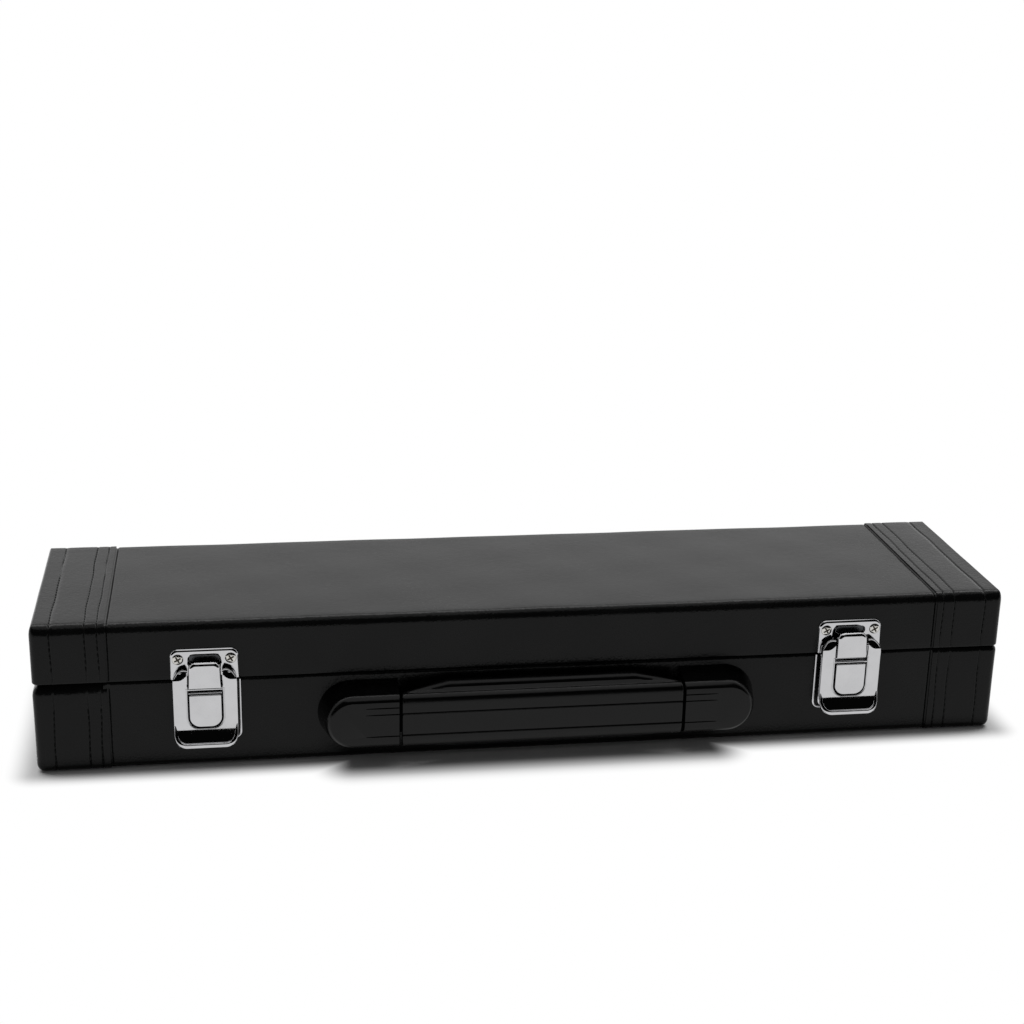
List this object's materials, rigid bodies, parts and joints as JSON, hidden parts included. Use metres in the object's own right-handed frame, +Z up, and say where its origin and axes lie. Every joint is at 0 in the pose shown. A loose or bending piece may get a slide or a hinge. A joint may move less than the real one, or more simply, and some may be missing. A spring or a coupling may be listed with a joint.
{
  "type": "flute case",
  "caption": "Long narrow hinged flute case in black leatherette with stitched end bands, bright draw latches, a pull-out strap handle and a padded inside.",
  "frame": {"origin": "centre of the bottom face the case rests on", "axes": "+X along the length, to the right seen from the front; the front with the latches and the handle faces -Y; +Z up"},
  "size_m": [0.42, 0.117, 0.066],
  "materials": {
    "case_wood": "raw plywood",
    "leatherette": "fine grained, satin",
    "band_leatherette": "smooth grain, stitched",
    "plush": "short pile",
    "seat_plastic": "moulded, satin",
    "grip_vinyl": "soft satin",
    "spring_steel": "tempered strip",
    "screw_steel": "zinc plated",
    "screw_nickel": "bright nickel",
    "nickel": "bright nickel plate"
  },
  "bodies": {
    "base": {"base_wall_front": "case_wood", "base_wall_back": "case_wood", "base_wall_left": "case_wood", "base_wall_right": "case_wood", "base_bottom_panel": "case_wood", "base_cover": "leatherette", "base_bottom_sheet": "leatherette", "base_band_left": "band_leatherette", "base_band_right": "band_leatherette", "floor_pad": "plush", "front_rail": "plush", "back_rail": "plush", "middle_rail": "plush", "body_end_blocks": "plush", "joint_end_blocks": "plush", "divider_block": "plush", "body_saddles": "plush", "head_saddles": "plush", "foot_saddle": "plush", "hinge_base_leaf_left": "nickel", "hinge_base_leaf_right": "nickel", "hinge_pins": "nickel", "hinge_base_screws": "screw_nickel", "latch_plate_left": "nickel", "latch_plate_right": "nickel", "latch_plate_screws": "screw_nickel", "lever_pins": "nickel", "handle_seat_left": "seat_plastic", "handle_seat_right": "seat_plastic", "handle_screws": "screw_steel"},
    "lid": {"lid_wall_front": "case_wood", "lid_wall_back": "case_wood", "lid_wall_left": "case_wood", "lid_wall_right": "case_wood", "lid_top_panel": "case_wood", "lid_cover": "leatherette", "lid_band_left": "band_leatherette", "lid_band_right": "band_leatherette", "lid_pad": "plush", "hinge_lid_leaf_left": "nickel", "hinge_lid_leaf_right": "nickel", "hinge_lid_screws": "screw_nickel", "strike_plate_left": "nickel", "strike_plate_right": "nickel", "strike_screws": "screw_nickel"},
    "lever_left": {"lever_left": "nickel", "hasp_pin_left": "nickel"},
    "lever_right": {"lever_right": "nickel", "hasp_pin_right": "nickel"},
    "hasp_left": {"hasp_left": "nickel"},
    "hasp_right": {"hasp_right": "nickel"},
    "grip": {"grip_cover": "grip_vinyl", "grip_pad": "grip_vinyl", "grip_core": "spring_steel"},
    "strap_left": {"strap_cover_left": "grip_vinyl", "strap_strip_left": "spring_steel"},
    "strap_right": {"strap_cover_right": "grip_vinyl", "strap_strip_right": "spring_steel"}
  },
  "joints": [
    {"name": "lid_hinge", "type": "hinge", "parent": "base", "child": "lid", "pos_m": [0, 0.0516, 0.04], "axis": [-1, 0, 0], "range_deg": [0, 105]},
    {"name": "lever_left_pivot", "type": "hinge", "parent": "base", "child": "lever_left", "pos_m": [-0.1393, -0.0528, 0.0445], "axis": [-1, 0, 0], "range_deg": [0, 95]},
    {"name": "hasp_left_pivot", "type": "hinge", "parent": "lever_left", "child": "hasp_left", "pos_m": [-0.1393, -0.054, 0.0374], "axis": [1, 0, 0], "range_deg": [0, 100]},
    {"name": "lever_right_pivot", "type": "hinge", "parent": "base", "child": "lever_right", "pos_m": [0.1393, -0.0528, 0.0445], "axis": [-1, 0, 0], "range_deg": [0, 95]},
    {"name": "hasp_right_pivot", "type": "hinge", "parent": "lever_right", "child": "hasp_right", "pos_m": [0.1393, -0.054, 0.0374], "axis": [1, 0, 0], "range_deg": [0, 100]},
    {"name": "handle_lift", "type": "slide", "parent": "base", "child": "grip", "axis": [0, -1, 0], "range_m": [0, 0.016], "stiffness_N_per_m": 150},
    {"name": "strap_left_bend", "type": "hinge", "parent": "grip", "child": "strap_left", "pos_m": [-0.0394, -0.0584, 0.0228], "axis": [0, 0, -1], "range_deg": [0, 45]},
    {"name": "strap_right_bend", "type": "hinge", "parent": "grip", "child": "strap_right", "pos_m": [0.0446, -0.0584, 0.0228], "axis": [0, 0, 1], "range_deg": [0, 45]}
  ],
  "couplings": [
    {"joint": "hasp_left_pivot", "follows": "lever_left_pivot", "ratio": 1.05},
    {"joint": "hasp_right_pivot", "follows": "lever_right_pivot", "ratio": 1.05},
    {"joint": "strap_left_bend", "follows": "handle_lift", "rad_per_m": 49},
    {"joint": "strap_right_bend", "follows": "handle_lift", "rad_per_m": 49}
  ]
}
